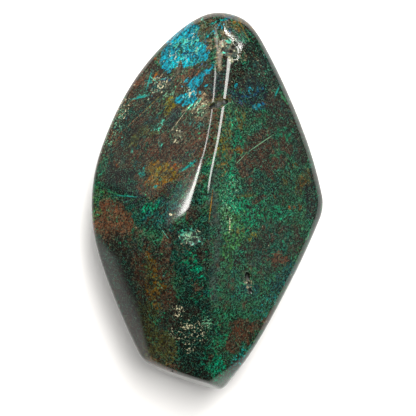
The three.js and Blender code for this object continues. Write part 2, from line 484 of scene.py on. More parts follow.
# Where each mineral lies on the front, painted in this order:
# x, y, half length, half width, turn in degrees, mineral, strength (1 is solid, with a firm border)
mineralPatches = [
    # right side
    (13, -6, 17, 34, 0, "green", 0.99),
    (11, 30, 8, 12, 35, "coal", 0.9),
    (15.5, 27, 7, 2.2, -62, "greyBrown", 0.55),
    (9.5, 25.5, 5.0, 3.2, -25, "navy", 0.95),
    (6.5, 30, 2.2, 3.5, 20, "darkBrown", 0.8),
    (26.8, -2, 2.2, 10, 0, "coal", 0.85),
    (20, 17, 3.4, 9, 22, "darkBrown", 0.8),
    (14, -9, 4.5, 4.5, 0, "darkGreen", 0.8),
    (12, 5, 5, 3, 0, "darkGreen", 0.7),
    (6.5, 1, 1.8, 8, 5, "malachite", 0.85),
    (10, -3, 4, 3, -20, "malachite", 0.6),
    (17.5, -2, 1.4, 3.6, -30, "malachite", 0.8),
    (16.8, 16, 0.9, 2.6, 10, "malachite", 0.85),
    (19.3, 15.3, 0.7, 0.9, 0, "malachite", 0.9),
    (20, 5, 2.5, 5, -25, "green", 0.8),
    (12, 19, 3, 3.4, -50, "green", 0.75),
    (14, 21.5, 1.6, 1.4, 0, "malachite", 0.6),
    (18, 25, 2.2, 0.8, -55, "green", 0.8),
    (11.5, 12, 3.9, 4.6, -45, "brown", 0.95),
    (13.4, 9.2, 4.0, 1.7, -12, "brown", 0.95),
    (17.0, 9.4, 2.2, 1.2, -10, "brown", 0.9),
    (18.3, 13.4, 1.3, 1.9, 10, "brown", 0.95),
    (15.5, 17.6, 1.8, 1.6, 30, "darkBrown", 0.8),
    (15.3, 6.6, 0.9, 1.1, 30, "brown", 0.95),
    (10.4, 5.3, 1.2, 0.5, 0, "brown", 0.8),
    (9.2, 1.6, 1.5, 0.6, 5, "olive", 0.8),
    (12.0, 0.3, 2.1, 0.7, 22, "redBrown", 0.9),
    (15.8, 1.2, 0.5, 0.4, 0, "rust", 0.7),
    (23.6, 4.6, 2.0, 2.8, -15, "olive", 0.85),
    (23.7, 4.4, 1.1, 1.6, 0, "ochre", 0.6),
    (21.7, -0.9, 0.8, 0.8, 0, "ochre", 0.95),
    (19.7, -1.0, 0.7, 0.5, 20, "rust", 0.7),
    (18.9, 5.2, 1.3, 1.5, 0, "olive", 0.6),
    (20.8, 8.5, 0.6, 0.6, 0, "ochre", 0.5),
    (5.4, -8.5, 2.4, 6, 0, "leaf", 0.8),
    (10.8, -7.2, 1.5, 1.1, -20, "yellow", 0.75),
    (7.0, -6.4, 1.4, 0.5, 15, "olive", 0.7),
    (8.3, -10.5, 0.6, 1.4, 0, "darkBrown", 0.8),
    (7.4, -13.8, 0.9, 1.3, 0, "darkBrown", 0.8),
    (17.0, -13.2, 2.4, 1.0, 5, "redBrown", 0.85),
    (20.0, -10.5, 1.4, 3.6, -15, "darkBrown", 0.75),
    (13.6, -12.5, 0.9, 0.6, 0, "darkBrown", 0.7),
    (13, -17, 4.0, 2.6, 30, "green", 0.5),
    (12.5, -9.5, 3.0, 1.6, 20, "darkBrown", 0.75),
    (16.5, -6.0, 2.4, 1.2, -40, "darkBrown", 0.7),
    (11.6, -13.6, 2.2, 1.6, 0, "greyGreen", 0.7),
    (15.0, -15.5, 2.4, 1.4, 35, "darkBrown", 0.7),
    (8.0, -23.5, 3.6, 2.0, 30, "darkTeal", 0.7),
    (9.5, -12.6, 1.2, 0.8, 0, "darkBrown", 0.8),
    (17.5, -19, 5.5, 2.6, 58, "darkTeal", 0.8),
    (14.5, -24, 3.6, 1.8, 55, "teal", 0.5),
    (6.0, -18, 2.0, 3.4, 0, "darkGreen", 0.6),
    (6.0, -26, 3.2, 3.0, 0, "green", 0.6),
    (3.0, -29, 1.6, 4.5, 0, "malachite", 0.4),
    (7.6, -32.2, 4.4, 3.0, 22, "brown", 0.98),
    (12.6, -29.2, 4.4, 1.7, 24, "brown", 0.95),
    (6.6, -31.4, 2.2, 1.0, 30, "redBrown", 0.7),
    (13.0, -29.5, 1.8, 0.9, 20, "greyBrown", 0.6),
    (7.4, -38.0, 4.2, 1.5, 42, "teal", 0.55),
    (4.2, -37.0, 1.4, 1.6, 20, "green", 0.7),
    (2.2, -39.2, 1.5, 3.6, -6, "emerald", 0.85),
    (1.6, -33.0, 0.9, 2.6, 0, "malachite", 0.6),
    (4.4, 14.0, 1.3, 5.6, -8, "olive", 0.9),
    (3.4, 13.6, 0.9, 2.6, -8, "yellow", 0.5),
    (7.2, 17.8, 1.3, 2.2, -10, "olive", 0.9),
    (8.4, 21.0, 1.3, 1.4, 0, "olive", 0.5),
    (6.6, 15.8, 1.2, 3.0, 35, "malachite", 0.95),
    (7.3, 13.0, 1.3, 2.0, 0, "malachite", 0.8),
    (5.4, 19.2, 1.4, 0.5, 10, "paleTeal", 0.5),
    (6.7, 12.4, 1.0, 0.9, 0, "ochre", 0.85),
    (4.9, 11.4, 0.7, 0.6, 0, "brown", 0.8),
    (3.3, 7.6, 1.2, 1.4, 0, "ochre", 0.5),
    (9.0, 14.0, 0.7, 1.7, -20, "brown", 0.7),
    (1.5, -4, 1.1, 13, 0, "greyGreen", 0.95),
    (1.3, -18, 0.9, 6, 0, "greyGreen", 0.8),
    (-0.7, -11, 0.8, 9, 0, "black", 0.9),
    # head
    (1.0, 41, 9, 5.5, 0, "greyBrown", 0.8),
    (8.4, 42.0, 2.6, 2.4, -50, "ochre", 0.7),
    (9.8, 40.0, 2.6, 1.0, -60, "darkBrown", 0.7),
    (8.4, 38.4, 2.0, 1.1, -10, "emerald", 0.8),
    (7.9, 34.2, 0.6, 1.8, 8, "malachite", 0.85),
    (11.6, 33.6, 1.0, 1.2, 0, "darkTeal", 0.7),
    (12.4, 28.8, 0.9, 1.6, 30, "green", 0.6),
    (5.4, 36.6, 2.9, 2.3, -45, "beige", 0.7),
    (4.2, 37.2, 1.0, 1.2, 0, "brown", 0.6),
    (7.2, 36.6, 1.2, 1.0, 0, "olive", 0.6),
    (-0.5, 43.2, 2.3, 1.6, 10, "brown", 0.75),
    (2.6, 43.2, 3.4, 0.34, 22, "teal", 0.9),
    (4.8, 44.1, 1.0, 0.4, 15, "darkBlue", 0.8),
    (-1.0, 43.3, 0.3, 1.0, 20, "paleTeal", 0.6),
    (-2.4, 40.6, 3.0, 1.7, 0, "olive", 0.5),
    (-1.0, 39.6, 2.6, 0.9, 40, "teal", 0.5),
    (3.2, 41.8, 0.8, 1.0, 0, "blue", 0.6),
    (5.9, 40.8, 0.8, 0.5, -20, "darkBlue", 0.7),
    (1.3, 40.0, 1.2, 0.5, 35, "blue", 0.55),
    (-0.2, 38.4, 0.7, 0.8, 0, "darkBlue", 0.5),
    (-1.0, 36.6, 2.6, 0.9, -8, "beige", 0.7),
    (-0.4, 36.3, 1.6, 0.45, -10, "rust", 0.7),
    (1.2, 38.2, 1.0, 1.0, 0, "beige", 0.6),
    (3.8, 35.5, 0.8, 0.35, 15, "paleTeal", 0.8),
    (5.0, 38.1, 0.7, 0.5, 0, "paleTeal", 0.7),
    (4.7, 36.5, 0.5, 0.3, 40, "paleTeal", 0.6),
    # painted sheen: the pale wedge at the top of the crest, between the two ridges
    (2.5, 34.4, 1.5, 3.2, -8, "beige", 0.9),
    (5.6, 33.6, 1.3, 0.7, 0, "cream", 0.7),
    # crest
    (3.4, 27.8, 1.6, 4.8, -4, "slate", 0.95),
    (4.0, 31.5, 1.2, 2.4, -8, "darkBrown", 0.7),
    (3.2, 25.4, 0.9, 1.1, 0, "green", 0.8),
    (2.4, 19.5, 1.4, 3.2, -8, "brown", 0.7),
    (1.4, 13.8, 1.0, 3.0, -12, "olive", 0.85),
    (1.4, 11.0, 0.9, 0.8, 0, "ochre", 0.6),
    (0.2, 8.8, 0.8, 1.3, 0, "leaf", 0.7),
    (-0.9, 9.4, 0.8, 1.2, 0, "brown", 0.7),
    (-0.7, 6.9, 0.8, 1.3, -20, "emerald", 0.9),
    (-1.7, 4.6, 1.1, 1.6, -20, "brown", 0.85),
    (-2.4, 1.4, 1.6, 3.4, -12, "deepGreen", 0.85),
    (-3.8, -2.6, 1.4, 2.2, -10, "darkBrown", 0.9),
    (-1.6, -3.4, 1.6, 1.4, 20, "deepGreen", 0.9),
    # left side, upper
    (-14, 18, 16, 17, 40, "brown", 0.85),
    (-16.4, 25.6, 6.0, 1.3, 42, "darkBrown", 0.7),
    (-15, 22, 6.5, 1.6, 42, "coal", 0.75),
    (-19.5, 19.5, 2.6, 3.6, 20, "deepGreen", 0.8),
    (-10.5, 21.0, 4.5, 1.1, 42, "darkBrown", 0.7),
    (-19.6, 23.0, 2.8, 0.7, 42, "rust", 0.5),
    (-17.6, 28.4, 3.4, 1.6, 55, "redBrown", 0.7),
    (-15.2, 17.4, 4.8, 0.8, 42, "coal", 0.6),
    (-19.4, 13.6, 5.6, 1.2, 48, "darkBrown", 0.7),
    (-22.4, 16.0, 1.6, 1.0, 60, "rust", 0.55),
    (-13.0, 20.2, 4.4, 0.5, 42, "darkTeal", 0.6),
    (-12.2, 24.2, 3.2, 0.7, 42, "greyGreen", 0.6),
    (-7.6, 29.0, 3.2, 2.4, 20, "greyBrown", 0.85),
    (-4.4, 29.6, 3.4, 1.3, 38, "salmon", 0.7),
    (-1.6, 32.6, 1.8, 1.5, 30, "brown", 0.6),
    (-3.0, 27.6, 2.0, 0.7, 40, "brown", 0.7),
    (-11.4, 32.4, 3.4, 2.1, -32, "darkBrown", 0.95),
    (-10.2, 33.9, 3.0, 0.5, -28, "rust", 0.75),
    (-9.0, 31.6, 0.9, 1.0, 0, "olive", 0.6),
    (-12.6, 30.5, 1.3, 1.1, 0, "ochre", 0.75),
    (-12.0, 28.3, 1.9, 1.6, 20, "slate", 0.8),
    (-12.6, 28.0, 0.8, 1.1, 0, "darkTeal", 0.8),
    (-13.9, 29.2, 2.4, 0.28, 74, "teal", 0.8),
    (-16.6, 25.3, 2.2, 0.25, 10, "teal", 0.85),
    (-14.9, 25.8, 0.7, 0.4, 10, "paleTeal", 0.7),
    (-14.6, 29.7, 1.2, 0.3, 20, "teal", 0.6),
    (-10.3, 29.8, 1.9, 0.45, -8, "darkBlue", 0.7),
    (-10.6, 31.8, 0.6, 0.5, 30, "darkTeal", 0.7),
    (-9.6, 26.8, 4.2, 0.6, 30, "darkBrown", 0.85),
    (-8.8, 26.1, 1.9, 0.7, 38, "paleGreen", 0.55),
    (-8.6, 23.0, 1.2, 2.3, -30, "yellow", 0.85),
    (-9.8, 24.6, 1.0, 0.6, 30, "olive", 0.7),
    (-7.0, 20.2, 3.8, 1.3, 42, "slate", 0.9),
    (-4.0, 20.6, 1.8, 1.0, 0, "brown", 0.7),
    (-2.0, 22.6, 3.3, 2.3, 25, "beige", 0.7),
    (-3.4, 22.8, 1.6, 0.5, 45, "paleTeal", 0.6),
    (-1.2, 21.6, 1.4, 0.8, 20, "paleGreen", 0.7),
    (-5.0, 23.2, 1.4, 0.6, 30, "yellow", 0.6),
    (-0.4, 19.6, 1.2, 2.4, -10, "greyBrown", 0.6),
    (-3.4, 18.2, 2.0, 1.7, 20, "brown", 0.7),
    (-3.2, 18.4, 1.7, 0.9, 20, "teal", 0.5),
    (-1.4, 18.6, 0.7, 1.0, 20, "teal", 0.7),
    (-6.6, 16.6, 1.9, 1.7, 0, "greyBrown", 0.8),
    (-7.0, 14.2, 1.1, 0.35, 0, "cream", 0.6),
    (-8.2, 15.6, 0.5, 0.4, 0, "salmon", 0.8),
    (-12.4, 18.0, 2.6, 0.7, 48, "paleTeal", 0.6),
    (-13.4, 15.8, 1.2, 0.8, 30, "olive", 0.8),
    (-16.8, 15.2, 3.8, 0.9, 36, "olive", 0.85),
    (-16.4, 13.4, 2.2, 0.6, 36, "darkTeal", 0.85),
    (-18.1, 12.1, 0.6, 0.6, 30, "paleTeal", 0.95),
    (-20.6, 14.3, 0.8, 0.5, 20, "teal", 0.8),
    (-21.4, 18.3, 1.0, 1.2, 0, "teal", 0.5),
    (-23.5, 13.2, 0.5, 0.9, 20, "teal", 0.6),
    (-11.7, 13.3, 1.0, 1.3, 10, "darkTeal", 0.9),
    (-11.6, 13.8, 0.6, 0.35, 0, "paleTeal", 0.8),
    (-8.4, 12.4, 2.0, 3.0, 0, "brown", 0.8),
    (-15.4, 11.2, 3.8, 2.4, 30, "redBrown", 0.75),
    (-4.8, 10.8, 1.6, 0.5, 40, "slate", 0.6),
    (-20.8, 10.0, 1.0, 1.2, 0, "greyGreen", 0.7),
    (-17.3, 9.0, 0.8, 1.0, 0, "darkTeal", 0.6),
    (-21.2, 8.2, 0.6, 0.8, 0, "rust", 0.6),
    (-25.5, 8.6, 1.5, 3.2, -12, "green", 0.9),
    (-25.8, 7.6, 0.7, 1.8, -12, "malachite", 0.5),
    (-22.8, 11.0, 0.8, 1.1, 20, "darkGreen", 0.9),
    (-23.6, 6.4, 0.9, 3.6, -20, "coal", 0.8),
    (-20.4, 4.6, 4.4, 2.8, 0, "coal", 0.95),
    (-21.8, 6.8, 1.4, 1.0, 0, "darkBrown", 0.9),
    (-15.2, 7.1, 1.2, 0.9, 30, "teal", 0.7),
    (-10.6, 6.4, 4.4, 2.2, 12, "ochre", 0.85),
    (-9.2, 7.0, 2.2, 1.6, 0, "yellow", 0.5),
    (-12.0, 4.8, 2.8, 1.0, -10, "rust", 0.4),
    (-10.4, 3.2, 2.4, 1.2, 20, "brown", 0.8),
    (-6.7, 8.1, 0.8, 0.7, 0, "rust", 0.95),
    (-4.6, 8.2, 2.0, 0.3, 34, "teal", 0.8),
    (-5.2, 6.4, 1.4, 1.6, -20, "greyBrown", 0.5),
    (-12.6, 4.0, 0.5, 0.5, 0, "teal", 0.7),
    # left side, middle
    (-23.6, -4.5, 6.0, 6.2, 0, "salmon", 0.95),
    (-26.8, -1.5, 1.4, 3.6, 0, "leaf", 0.6),
    (-23.0, -0.8, 4.0, 1.2, -8, "redBrown", 0.8),
    (-25.2, 3.4, 1.6, 0.5, -40, "green", 0.8),
    (-22.6, 2.0, 2.2, 0.5, -16, "green", 0.85),
    (-19.0, 1.6, 1.8, 0.25, -4, "teal", 0.6),
    (-14.0, -1.8, 5.0, 5.0, -20, "darkGreen", 0.85),
    (-9.4, -1.4, 3.4, 4.6, 0, "darkTeal", 0.7),
    (-9.0, 2.8, 2.4, 1.6, 20, "slate", 0.6),
    (-17.0, 1.0, 2.4, 2.0, 0, "slate", 0.7),
    (-13.6, -1.0, 2.2, 1.2, 0, "emerald", 0.85),
    (-14.4, -3.4, 0.9, 1.2, 0, "darkTeal", 0.9),
    (-9.7, -5.6, 1.4, 1.8, 20, "navy", 0.6),
    (-8.6, -2.9, 0.35, 0.3, 0, "cream", 0.95),
    (-12.0, -7.4, 2.8, 1.9, -20, "green", 0.8),
    (-6.6, -3.0, 1.2, 2.6, -10, "green", 0.7),
    (-6.2, -0.6, 0.9, 1.8, -14, "paleGreen", 0.35),
    (-15.5, -9.5, 2.6, 2.4, 0, "greyBrown", 0.5),
    # left side, lower
    (-15, -27, 7, 20, 12, "brown", 0.97),
    (-18.6, -19, 3.4, 11, 14, "darkBrown", 0.9),
    (-20.5, -24, 2.6, 9, 16, "redBrown", 0.4),
    (-16.6, -14, 1.6, 6, 8, "coal", 0.7),
    (-11.6, -24, 1.8, 10, 5, "greyGreen", 0.66),
    (-15.4, -20, 1.6, 9, 10, "brown", 0.9),
    (-10.4, -19, 1.2, 7, 6, "redBrown", 0.85),
    (-13.4, -20, 1.2, 8, 8, "ochre", 0.72),
    (-14.0, -30, 2.6, 6, 15, "olive", 0.8),
    (-12.2, -16.8, 1.9, 3.8, 8, "ochre", 0.75),
    (-13.8, -17.2, 0.9, 3.0, 8, "olive", 0.7),
    (-9.6, -13.0, 1.5, 7.5, 4, "brown", 0.85),
    (-11.4, -34.5, 4.4, 5.2, 20, "olive", 0.7),
    (-12.6, -40, 7.0, 2.4, -24, "salmon", 0.5),
    (-4.0, -20, 4.2, 16, 2, "deepGreen", 0.9),
    (-6.4, -13.6, 1.4, 3.6, 0, "darkGreen", 0.7),
    (-1.6, -12.0, 1.4, 3.0, 0, "darkBrown", 0.85),
    (-2.4, -20.0, 1.0, 1.6, 0, "redBrown", 0.7),
    (-4.6, -26.4, 2.4, 1.8, 0, "darkBrown", 0.9),
    (-8.4, -27.6, 2.6, 2.4, 0, "darkBrown", 0.85),
    (-7.6, -20.6, 1.5, 4.2, 0, "green", 0.6),
    (-2.4, -17.0, 0.9, 2.4, 20, "emerald", 0.6),
    (-3.2, -22.6, 1.9, 0.8, 10, "emerald", 0.6),
    (-1.2, -26.4, 0.9, 1.8, 10, "emerald", 0.7),
    (-4.4, -13.6, 1.1, 1.3, 0, "malachite", 0.6),
    (-4.0, -34.0, 3.4, 6.0, 0, "deepGreen", 0.85),
    (-1.4, -40.0, 1.8, 3.6, 0, "deepGreen", 0.9),
    (-0.6, -37.4, 0.7, 2.6, 0, "emerald", 0.6),
    (-3.4, -37.8, 1.4, 1.0, 0, "darkBrown", 0.6),
    # the blues, over the rest
    (-6.2, 36.9, 5.2, 4.9, 40, "blue", 1.0),
    (-3.4, 38.6, 1.7, 3.2, -8, "blue", 1.0),
    (-3.7, 33.9, 3.6, 1.5, 14, "blue", 1.0),
    (-6.4, 33.3, 1.9, 1.7, 0, "brightBlue", 0.9),
    (-3.2, 38.6, 1.0, 2.8, -8, "paleTeal", 0.5),
    (-6.0, 36.1, 1.4, 1.4, 20, "darkBlue", 0.75),
    (-4.2, 34.8, 1.6, 0.6, 20, "darkBlue", 0.5),
    (-8.6, 35.4, 1.6, 1.0, -30, "brightBlue", 0.6),
    (-1.0, 34.7, 1.6, 0.5, 35, "blue", 0.8),
    (-1.6, 32.4, 1.0, 0.8, 20, "darkBlue", 0.4),
    (-4.9, 25.1, 3.1, 1.6, 22, "blue", 1.0),
    (-3.4, 26.3, 1.4, 1.8, 10, "blue", 0.95),
    (-1.3, 29.4, 3.4, 0.9, 52, "blue", 1.0),
    (-4.4, 25.6, 1.6, 0.8, 20, "brightBlue", 0.5),
    (-0.3, 27.4, 0.38, 0.42, 0, "brightBlue", 0.95),
    (-1.8, 25.7, 0.3, 0.5, 0, "blue", 0.8),
    (6.8, 27.6, 0.42, 0.6, -10, "brightBlue", 1.0),
    (11.8, 22.6, 0.9, 0.5, 20, "blue", 0.95),
    (13.2, 23.2, 0.5, 0.4, 0, "darkBlue", 0.9),
    (9.0, 25.0, 0.6, 0.7, 0, "darkBlue", 0.85),
    (10.0, 26.3, 0.5, 0.5, 0, "blue", 0.75),
    (11.6, 25.8, 1.2, 0.35, 40, "darkBlue", 0.85),
    (12.0, 26.6, 0.4, 0.3, 0, "blue", 0.6),
    (8.2, 23.8, 0.5, 0.7, 20, "darkBlue", 0.7),
    # the notch
    (2.6, 23.0, 2.6, 1.0, 18, "olive", 0.8),
]

# Borders of the patches, in millimetres
borders = {
    "wander": 2.2,  # how far the borders of large patches wander
    "wanderSize": 5.0,
    "waver": 0.8,
    "waverSize": 1.5,
    "broad": 2.5,  # narrower patches wander less
    "margin": 4,  # no border wanders farther than this
    "rimStart": 13.0,  # the patches thin out over the rim, from this height down
    "rimWander": 6,
    "rimThinning": 0.35,
    "evenStrength": 0.62,  # a patch of this strength shows in half of its area
    "speckled": 0.42,  # how thinly a weak patch is strewn
    "marksAbove": 14,  # crumbs and close veins lie above this height
    "shadeAbove": 6,
}


def patchFields(points):  # how deep each point lies in each patch, in millimetres
    edge = borders
    wander = [cloud(points, edge["wanderSize"], 2, channel) for channel in (0, 1)]
    wander = np.stack(wander) * 2 * edge["wander"]
    waver = [cloud(points, edge["waverSize"], 2, channel) for channel in (2, 3)]
    waver = np.stack(waver) * 2 * edge["waver"]
    rim = edge["rimStart"] + edge["rimWander"] * cloud(points, edge["wanderSize"])
    below = edge["rimThinning"] * np.maximum(rim - points[:, 2], 0)
    fields = np.full((len(mineralPatches), len(points)), -9.0, np.float32)
    covers = np.zeros(fields.shape, np.float32)
    for spot, field, cover in zip(mineralPatches, fields, covers):
        size = min(spot[2], spot[3])
        moved = points[:, :2].T + wander * min(size / edge["broad"], 1) + waver * min(size, 1)
        reach = max(spot[2], spot[3]) + edge["margin"]
        near = np.hypot(moved[0] - spot[0], moved[1] - spot[1]) < reach
        firm = 2 if spot[6] == 1 else 1
        inside = (1 - shareFrom(spot, *moved[:, near])) * min(size, edge["broad"]) * firm
        thin = (spot[6] - edge["evenStrength"]) * 2 * edge["speckled"]
        field[near] = np.minimum(inside, thin) - below[near]
        cover[near] = inside - below[near] > 0.1
    return fields, covers


# Crumbs of another mineral: x, y, half length, half width, turn, mineral, how thickly they lie
crumbPlaces = [
    (-3.7, -8.2, 4.6, 3.2, 0, "black", 1.0),
    (-0.6, -28, 3, 7, 5, "black", 0.5),
    (-7.3, -25.8, 2.4, 2.6, 30, "cream", 0.48),
    (-4.8, -29.6, 3.2, 2.0, 0, "cream", 0.50),
    (-7.6, -31.4, 2.6, 2.0, -20, "cream", 0.44),
    (-4.6, -34.8, 2.4, 2.2, 0, "cream", 0.44),
    (-2.0, 22.4, 3.6, 2.4, 25, "cream", 0.45),
    (4.8, 36.6, 3.2, 2.8, -30, "cream", 0.30),
    (5.8, 33.7, 1.4, 0.9, 0, "cream", 0.35),
    (-20.4, 23.0, 2.6, 5.5, -22, "cream", 0.38),
    (-10.5, 28.5, 4.5, 2.2, 38, "cream", 0.45),
    (-6.6, 16.4, 2.2, 2.2, 0, "cream", 0.42),
    (-0.2, -28.6, 2.0, 3.0, 0, "paleGreen", 0.55),
    (-3.4, -30.8, 6.0, 4.8, 20, "cream", 0.38),
    (5.0, 0, 4.0, 12, -6, "paleGreen", 0.4),
    (-23, 18, 3, 10, -25, "paleGreen", 0.42),
    (9.8, -19.2, 1.7, 3.6, 12, "beige", 0.55),
]
crumbMinerals = ("black", "cream", "paleGreen", "beige")

# Where the stone is darker, partly its own darker minerals and partly painted shade, which is
# strongest on the lower left and lower middle: x, y, half length, half width, turn, brightness left
# in the middle
darkToneAndShadePlaces = [
    (-21.5, -24, 8, 19, 14, 0.32),
    (-3.5, -32, 5.5, 17, 4, 0.40),
    (-20, 10, 8, 12, -20, 0.65),
    (-13, -24, 6, 16, 8, 0.75),
    (-14, 20, 10, 13, 40, 0.78),
    (17, 10, 12, 17, 20, 0.6),
    (11, 32, 8, 12, 20, 0.5),
]


def markLayers(mesh):  # a patch lies one layer above the patches that it covers
    points = np.zeros(len(mesh.vertices) * 3, np.float32)
    mesh.vertices.foreach_get("co", points)
    points = points.reshape(-1, 3).astype(float) / millimetre
    fields, covers = patchFields(points)
    shade = np.ones(len(points))
    # darker minerals and painted shade, from the dark places
    for spot in darkToneAndShadePlaces:
        fade = np.clip(1.4 - 1.4 * shareFrom(spot, *points.T[:2]) ** 2, 0, 1)
        shade *= 1 - (1 - spot[5]) * fade
    marked = points[:, 2] > borders["marksAbove"]
    for mineral in crumbMinerals:
        places = [spot for spot in crumbPlaces if spot[5] == mineral]
        keep(mesh, "crumbs_" + mineral, np.where(marked, spread(places, points, 1.7), 0))
    keep(mesh, "veined", np.where(marked, spread(veinedPlaces, points, 1.5), 0))
    keep(mesh, "shade", np.where(points[:, 2] > borders["shadeAbove"], shade, 1))
    common = covers @ covers.T
    meets = common > 0.04 * np.minimum(common.diagonal(), common.diagonal()[:, None])
    levels = []
    for number, spot in enumerate(mineralPatches):
        under = [level + (mineralPatches[other][5] != spot[5])
                 for other, level in enumerate(levels) if meets[number, other]]
        levels.append(max(under, default=0))
    colours = np.array([minerals[spot[5]] for spot in mineralPatches])
    for level in range(max(levels) + 1):
        members = np.flatnonzero(np.array(levels) == level)
        keep(mesh, "layer_%02d" % level, fields[members].max(axis=0))
        tint = mesh.attributes.new("tint_%02d" % level, "FLOAT_COLOR", "POINT")
        tint.data.foreach_set("color", colours[members[fields[members].argmax(axis=0)]].ravel())
    print("mineral layers:", max(levels) + 1)
    return max(levels) + 1


# Fine marks, drawn in the material: x, y, half length, half width, turn in degrees, mineral,
# strength, millimetres that its border is broken up
fineMarks = [
    (12.7, 14.0, 4.6, 0.075, 35, "paleGreen", 0.7, 0.1),
    (7.7, 10.0, 1.8, 0.08, 46, "paleGreen", 0.6, 0.1),
    (-7.0, 19.0, 3.4, 0.09, 53, "cream", 0.45, 0.1),
    (0.75, -1.0, 4.2, 0.13, 83, "ochre", 0.9, 0.1),
    (5.2, -5.4, 1.9, 0.16, 88, "cream", 0.85, 0.5),
    (-8.6, -2.9, 0.42, 0.30, -20, "cream", 1.0, 0.1),
    (-10.2, -7.2, 2.2, 0.10, -52, "paleTeal", 0.5, 0.15),
    (-16.6, 25.3, 2.3, 0.30, 10, "teal", 0.8, 0.8),
    (-14.2, 29.3, 2.6, 0.24, 74, "teal", 0.8, 0.6),
    (-13.0, 29.6, 1.6, 0.20, -40, "paleTeal", 0.7, 0.6),
    (-10.8, 29.6, 1.4, 0.20, 16, "teal", 0.7, 0.6),
    (-12.6, 30.6, 1.3, 0.20, 50, "rust", 0.8, 0.6),
    (-4.4, 8.3, 2.1, 0.26, 34, "teal", 0.7, 0.8),
    (-9.2, 20.0, 4.6, 0.10, 42, "greyGreen", 0.8, 0.3),
    (-17.0, 20.4, 4.8, 0.14, 42, "rust", 0.4, 0.9),
    (-15.0, 22.0, 5.2, 0.12, 40, "greyGreen", 0.8, 0.4),
    (-13.6, 23.4, 4.8, 0.12, 44, "olive", 0.8, 0.4),
    (-19.0, 1.4, 3.4, 0.14, -5, "teal", 0.7, 0.4),
    (-22.6, 2.2, 2.6, 0.18, -16, "green", 0.9, 0.4),
    (8.9, 40.4, 3.0, 0.14, -62, "olive", 0.8, 0.3),
    (18.2, 24.9, 2.4, 0.30, -56, "green", 0.9, 0.5),
    (16.6, 26.4, 1.8, 0.22, 66, "teal", 0.7, 0.4),
    (4.2, 35.4, 0.9, 0.28, 12, "paleTeal", 0.9, 0.2),
    (4.9, 38.0, 0.9, 0.35, -20, "paleTeal", 0.8, 0.3),
]

# Where pale veins lie closely: x, y, half length, half width, turn, share
veinedPlaces = [
    (-14, 27.5, 7, 5, 42, 0.6),
    (-5.6, 36.6, 6.6, 6.0, 40, 1.0),
    (-4.2, 26.2, 4.2, 2.4, 35, 0.8),
    (-3.9, -8.2, 4.6, 3.2, 0, 1.3),
    (3.6, 36.5, 5.0, 3.4, -30, 0.5),
    (12, 32, 4, 7, 30, 0.3),
]

stoneLook = {
    "ragged": 1.3,  # millimetres that flecks break up the borders
    "raggedFine": 1.2,
    "raggedFibres": 1.7,
    "fibreTurns": (42, -52),  # degrees that the fibres lean, on the left and on the right
    "fibreStretches": (7.0, 3.0),
    "hatchStretch": 2.6,
    "drift": 0.35,  # how far the patches turn towards teal, grey and brown
    "strewn": 0.8,  # how strongly other minerals show in the patches
    "strewnDark": 0.6,
    "brightness": 0.47,  # 1 is as painted
    "clouding": (0.42, 1.38),  # darkest and brightest
    "streaks": (0.62, 1.36),
    "grains": 1.25,
    "hatch": 0.8,
    "crumbs": 0.85,
    "veins": 0.7,
    "veinScale": 0.75,
    "veinBend": 2.0,
    "hairs": 0.3,
    "darkGrains": 0.85,
    "paleGrains": 0.16,
    "saturation": 1.12,
    "polish": 0.08,  # roughness where the stone is polished
    "polishVaries": 0.03,
    "matt": 0.7,
    "bump": 0.08,
    "bumpHeight": 0.00004,
    "refraction": 1.47,
}


